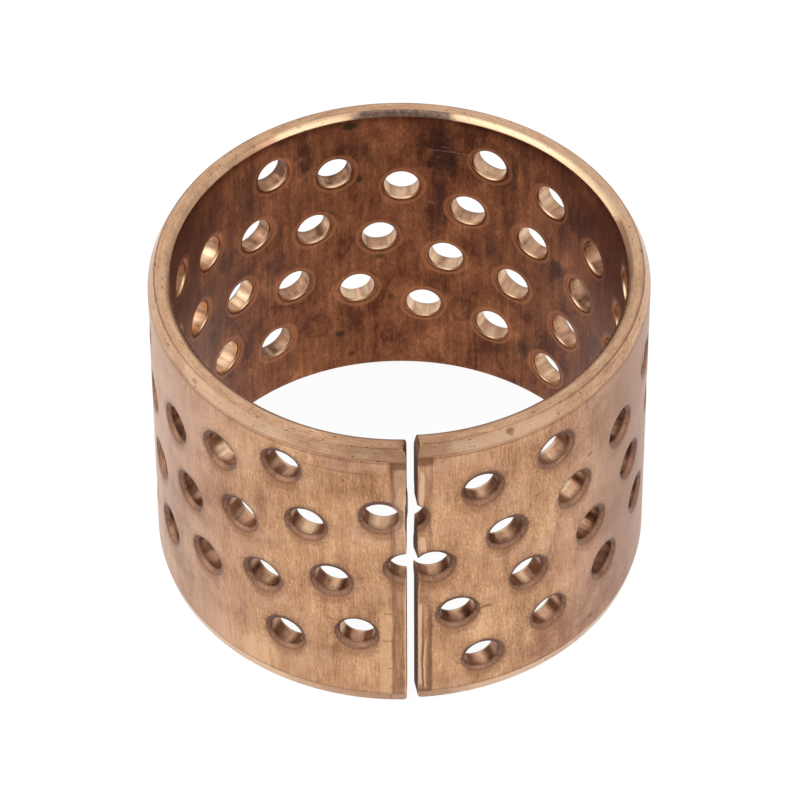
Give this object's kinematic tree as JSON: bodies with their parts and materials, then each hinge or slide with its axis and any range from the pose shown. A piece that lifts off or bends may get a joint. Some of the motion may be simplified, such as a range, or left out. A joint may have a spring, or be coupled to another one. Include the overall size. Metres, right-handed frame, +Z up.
{
  "type": "split bushing",
  "caption": "Split plain bushing rolled from perforated bronze strip, with a straight open seam, grease holes all through the wall and sloping end edges.",
  "frame": {"origin": "centre of the bore, in the plane of the bottom end face", "axes": "+Z up the bore from the end it stands on, -Y out through the seam, +X completes the frame"},
  "size_m": [0.055, 0.055, 0.04],
  "materials": {
    "bronze": "satin, worn and stained"
  },
  "bodies": {
    "root": {"split_bushing": "bronze"}
  },
  "joints": []
}
